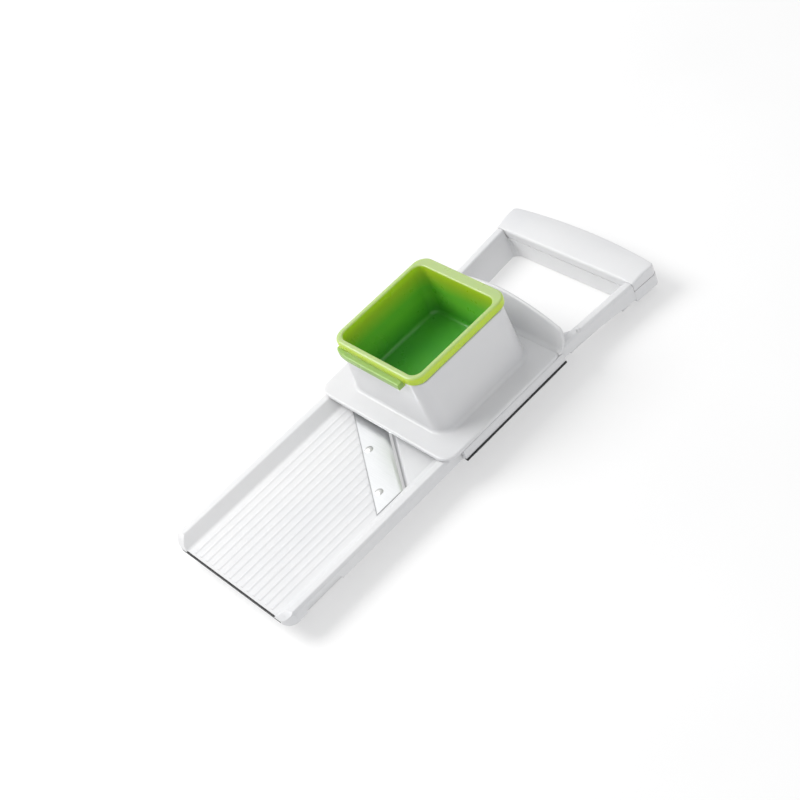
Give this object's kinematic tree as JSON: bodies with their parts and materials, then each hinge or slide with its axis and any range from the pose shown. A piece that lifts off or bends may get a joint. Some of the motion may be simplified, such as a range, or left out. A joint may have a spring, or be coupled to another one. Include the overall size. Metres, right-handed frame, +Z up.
{
  "type": "mandoline slicer",
  "caption": "Flat kitchen slicer: ribbed tray with a slanting blade, side rails, a loop handle and a sliding square food carriage with a pusher cup.",
  "frame": {"origin": "middle of the base, on the plane the four feet rest on", "axes": "+X to the right seen from the front edge, +Y from the front edge to the handle, +Z up from the tray"},
  "size_m": [0.1274, 0.34, 0.0721],
  "materials": {
    "body_white": "satin white moulded plastic",
    "carriage_white": "satin white moulded plastic",
    "cup_green": "slightly see-through green moulded plastic",
    "blade_steel": "ground stainless steel",
    "steel": "bright stainless steel",
    "black_rubber": "matt black soft plastic",
    "grey_rubber": "matt grey soft rubber"
  },
  "bodies": {
    "frame": {"body_frame": "body_white", "front_strip": "black_rubber", "handle_cover": "body_white", "handle_screws": "steel", "blade": "blade_steel", "blade_rivets": "steel", "foot_front_left": "grey_rubber", "foot_front_right": "grey_rubber", "foot_rear_left": "grey_rubber", "foot_rear_right": "grey_rubber", "runup_pin_left": "steel", "runup_pin_right": "steel"},
    "runup": {"runup_plate": "body_white"},
    "thickness_control": {"thickness_shaft": "body_white", "thickness_wheel": "cup_green", "wheel_screw": "steel", "shaft_clip": "steel"},
    "carriage": {"carriage_body": "carriage_white", "guide_left": "carriage_white", "guide_right": "carriage_white", "glide_strip_left": "black_rubber", "glide_strip_right": "black_rubber"},
    "pusher": {"pusher_cup": "cup_green", "pusher_foot": "cup_green"}
  },
  "joints": [
    {"name": "carriage_slide", "type": "slide", "parent": "frame", "child": "carriage", "axis": [0, 1, 0], "range_m": [-0.13, 0.015]},
    {"name": "pusher_slide", "type": "slide", "parent": "carriage", "child": "pusher", "axis": [0, 0, 1], "range_m": [0, 0.045]},
    {"name": "thickness_turn", "type": "hinge", "parent": "frame", "child": "thickness_control", "pos_m": [0, 0.026, 0.007], "axis": [1, 0, 0], "range_deg": [-60, 50]},
    {"name": "runup_tilt", "type": "hinge", "parent": "frame", "child": "runup", "pos_m": [0, 0.071, 0.0105], "axis": [1, 0, 0], "range_deg": [-1, 1]}
  ],
  "couplings": [
    {"joint": "runup_tilt", "follows": "thickness_turn", "ratio": -0.013333}
  ]
}
